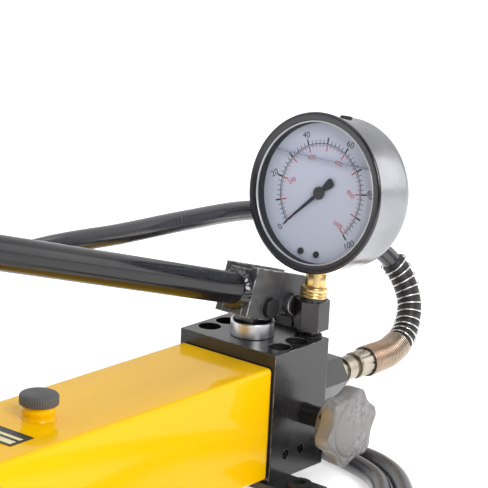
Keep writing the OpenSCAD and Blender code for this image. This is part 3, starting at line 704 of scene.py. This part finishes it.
def build_knob():
    """The cast knob: a round hub behind, the lobed grip, and a slightly hollow face."""
    seg = 240
    # (radius, height, 0) in mm, or (inset from the lobed outline, height, 1)
    rings = [(0.0, 0.0, 0), (13.8, 0.0, 0), (14.3, 0.2, 0), (14.5, 0.8, 0), (14.5, 7.3, 0), (14.7, 7.8, 0),
             (15.2, 8.0, 0), (1.6, 8.0, 1), (0.8, 8.2, 1), (0.25, 8.7, 1), (0.0, 9.5, 1),
             (0.0, 18.4, 1), (0.25, 19.2, 1), (0.8, 19.75, 1), (1.6, 20.0, 1),
             (20.2, 20.0, 0), (19.7, 19.9, 0), (19.3, 19.95, 0), (18.9, 20.3, 0), (18.3, 20.45, 0),
             (12.0, 20.4, 0), (5.0, 20.35, 0), (0.0, 20.35, 0)]
    rot = basis((0, -1, 0), (1, 0, 0))
    verts, faces = [], []
    origin = KNOB_C + Vector((0, -60 * MM, 0))
    for value, height, lobed in rings:
        for j in range(seg):
            th = 2 * math.pi * j / seg
            r = lobe_radius(th, value) if lobed else value
            verts.append(origin + rot @ Vector((r * math.cos(th), r * math.sin(th), height)) * MM)
    for i in range(len(rings) - 1):
        for j in range(seg):
            k = (j + 1) % seg
            faces.append((i * seg + j, i * seg + k, (i + 1) * seg + k, (i + 1) * seg + j))
    obj = new_piece("release_knob_cast", verts, faces, M["cast"], "release_valve")
    fix_normals(obj)
    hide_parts("release_knob")


build_knob()
CROSS_TURN = math.radians(27)
screw_axis = Vector((math.cos(CROSS_TURN), 0, -math.sin(CROSS_TURN)))
lathe("knob_cross_hole", [(0.0, -15.1), (1.9, -15.1), (2.0, -14.6), (2.0, -14.0), (0.0, -14.0)],
      KNOB_C + Vector((0, -64 * MM, 0)), screw_axis, M["oxide"], "release_valve", seg=24)

# ---------------------------------------------------------------- filler cap
FILLER = at(-203, 0, 0)
neck = lathe("filler_neck_turned", [
    (6.9, 86.0), (10.9, 86.0), (10.5, 86.5), (10.0, 87.3), (9.75, 88.2), (9.9, 89.3), (10.25, 90.4),
    (10.4, 91.4), (10.25, 92.4), (9.9, 93.3), (9.6, 94.2), (9.5, 95.0), (6.9, 95.0)],
    FILLER, (0, 0, 1), M["yellow"], "pump_frame", seg=96)
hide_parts("filler_neck")
CAP_TEETH = 48


def knurl(a, i):
    """Fine teeth round the cap's side, on its outer rows only."""
    return 1.0 - (0.026 * (0.5 + 0.5 * math.cos(CAP_TEETH * a)) if 1 <= i <= 7 else 0.0)


cap = lathe("filler_cap_knurled", [
    (8.7, 95.05), (11.6, 95.05), (11.95, 95.4), (12.0, 95.9), (12.0, 97.5), (12.0, 99.2), (11.95, 100.3),
    (11.6, 100.9), (11.2, 101.2), (10.7, 101.5), (9.8, 101.7), (6.0, 101.78), (0.0, 101.8), (0.0, 98.9),
    (8.7, 98.9)], FILLER, (0, 0, 1), M["cap"], "filler_plug", seg=384, ripple=knurl)
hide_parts("filler_cap")

# ---------------------------------------------------------------- handle
PITCH = math.radians(16.5)
HANDLE = at(-3, 0, 116)
HX = Vector((math.cos(PITCH), 0, -math.sin(PITCH)))  # the tube runs from the handle's origin along -HX
HZ = Vector((math.sin(PITCH), 0, math.cos(PITCH)))
TUBE_AXIS = HANDLE + HZ * 8 * MM


def weld(a, i):
    """The uneven ripples of a hand-laid weld bead."""
    return 1.0 + 0.02 * math.sin(19 * a + i) * (1 if 0 < i < 6 else 0) + 0.012 * math.sin(7 * a)


bead = lathe("handle_weld_bead", [
    (10.4, 22.0), (12.9, 22.0), (13.7, 22.6), (13.6, 23.6), (12.9, 24.8), (12.0, 25.9), (11.1, 26.8),
    (10.4, 27.2)], TUBE_AXIS, -HX, M["weld"], "handle", seg=192, ripple=weld)
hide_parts("weld_beads")
rod = lathe("handle_tube_painted", [
    (8.0, 22.0), (10.5, 22.0), (10.5, 100.0), (10.5, 200.0), (10.5, 300.0), (10.5, 400.0), (10.5, 435.6),
    (10.1, 436.0), (8.0, 436.0)], TUBE_AXIS, -HX, M["tube"], "handle", seg=96)
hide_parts("handle_tube")

grip_rows = [(10.5, 346.5), (12.6, 346.5), (13.2, 347.0), (13.5, 348.0)]
GRIP_RIBS, RIB_PITCH = 13, 6.6
for k in range(GRIP_RIBS):
    h = 350.0 + k * RIB_PITCH
    grip_rows += [(13.5, h), (14.1, h + 1.2), (14.1, h + 3.4), (13.5, h + 4.6)]
grip_rows += [(13.6, 437.0), (13.2, 438.6), (12.0, 439.7), (9.0, 440.0), (0.0, 440.0), (0.0, 436.6),
              (10.5, 436.6)]
grip = lathe("handle_grip_ribbed", grip_rows, TUBE_AXIS, -HX, M["rubber"], "handle", seg=96)
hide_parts("grip")

# ---------------------------------------------------------------- gland ring and top plate
gland = lathe("gland_ring_turned", [
    (11.06, -12.0), (13.0, -12.0), (13.0, 0.0), (14.0, 0.0), (14.4, 0.3), (14.5, 0.7), (14.5, 9.7),
    (14.35, 10.15), (13.9, 10.45), (13.2, 10.5), (12.95, 10.3), (12.9, 9.9), (12.9, 5.5), (11.2, 5.5),
    (11.06, 5.3)], at(-3, 0, 95), (0, 0, 1), M["chrome"], "pump_frame", seg=128)
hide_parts("gland_ring")

PLATE_TOP = 86.5
# pale stripes on the blank plate
for k, (x0, x1) in enumerate(((-247.6, -242.5), (-239.6, -236.6))):
    corners = [at(x, y, z) for z in (PLATE_TOP, PLATE_TOP + PRINT) for y in (-20.5, 20.5) for x in (x0, x1)]
    quads = [(0, 2, 3, 1), (4, 5, 7, 6), (0, 1, 5, 4), (2, 6, 7, 3), (0, 4, 6, 2), (1, 3, 7, 5)]
    new_piece(f"plate_stripe_{k}", corners, quads, M["cream"], "pump_frame", smooth=False)

# ---------------------------------------------------------------- stage, light and camera
floor_mat = bpy.data.materials.new("floor")
floor_mat.use_nodes = True
floor_shader = floor_mat.node_tree.nodes["Principled BSDF"]
floor_shader.inputs["Base Color"].default_value = (0.93, 0.93, 0.93, 1)
floor_shader.inputs["Roughness"].default_value = 0.9
floor_shader.inputs["Emission Color"].default_value = (1, 1, 1, 1)
floor_shader.inputs["Emission Strength"].default_value = 0.55
bpy.ops.mesh.primitive_plane_add(size=30, location=(0, 0, -0.0005))
floor = bpy.context.object
floor.name = "floor"
floor.data.materials.append(floor_mat)

world = bpy.data.worlds.new("studio")
bpy.context.scene.world = world
world.use_nodes = True
wt = world.node_tree
wcoord = wt.nodes.new("ShaderNodeTexCoord")
facing = wt.nodes.new("ShaderNodeVectorMath")
facing.operation = "DOT_PRODUCT"
facing.inputs[1].default_value = Vector((-0.66, -0.62, 0.22)).normalized()  # towards the camera's side
wt.links.new(wcoord.outputs["Generated"], facing.inputs[0])
shade = wt.nodes.new("ShaderNodeMapRange")  # a darker side of the studio, behind the camera
shade.interpolation_type = "SMOOTHSTEP"
shade.inputs["From Min"].default_value, shade.inputs["From Max"].default_value = 0.05, 0.80
shade.inputs["To Min"].default_value, shade.inputs["To Max"].default_value = 1.0, 0.08
wt.links.new(facing.outputs["Value"], shade.inputs["Value"])
wt.links.new(shade.outputs["Result"], wt.nodes["Background"].inputs["Color"])
wt.nodes["Background"].inputs["Strength"].default_value = 0.78


def softbox(name, where, target, size, power):
    """A rectangular lamp at a place, aimed at the target. Metres and watts."""
    lamp = bpy.data.lights.new(name, "AREA")
    lamp.shape = "RECTANGLE"
    lamp.size, lamp.size_y = size
    lamp.energy = power
    obj = bpy.data.objects.new(name, lamp)
    obj.location = where
    obj.rotation_euler = (Vector(target) - Vector(where)).to_track_quat("-Z", "Y").to_euler()
    bpy.context.scene.collection.objects.link(obj)


AIM = (0.15, 0, 0.1)
softbox("key", (-0.7, -2.0, 1.7), AIM, (1.2, 1.2), 46)
softbox("fill", (1.9, -1.0, 0.9), AIM, (1.0, 1.4), 5)
softbox("top", (0.1, 0.3, 2.2), AIM, (1.6, 1.0), 6)

cam_data = bpy.data.cameras.new("camera")
SENSOR = 36.0
FOCAL, WIDTH = 2294.3, 488.0  # the focal length and the picture's width in one unit
cam_data.sensor_width = SENSOR
cam_data.lens = SENSOR * FOCAL / WIDTH
cam_data.clip_start = 0.05
cam = bpy.data.objects.new("camera", cam_data)
bpy.context.scene.collection.objects.link(cam)
cam.location = at(-1133.0, -887.6, 552.3)
forward = Vector((0.75465, 0.59980, -0.26599))
up = Vector((0.17621, 0.20522, 0.96272))
right = forward.cross(up)
cam.rotation_euler = Matrix((right, up, -forward)).transposed().to_euler()
bpy.context.scene.camera = cam
bpy.context.scene.view_settings.view_transform = "Standard"
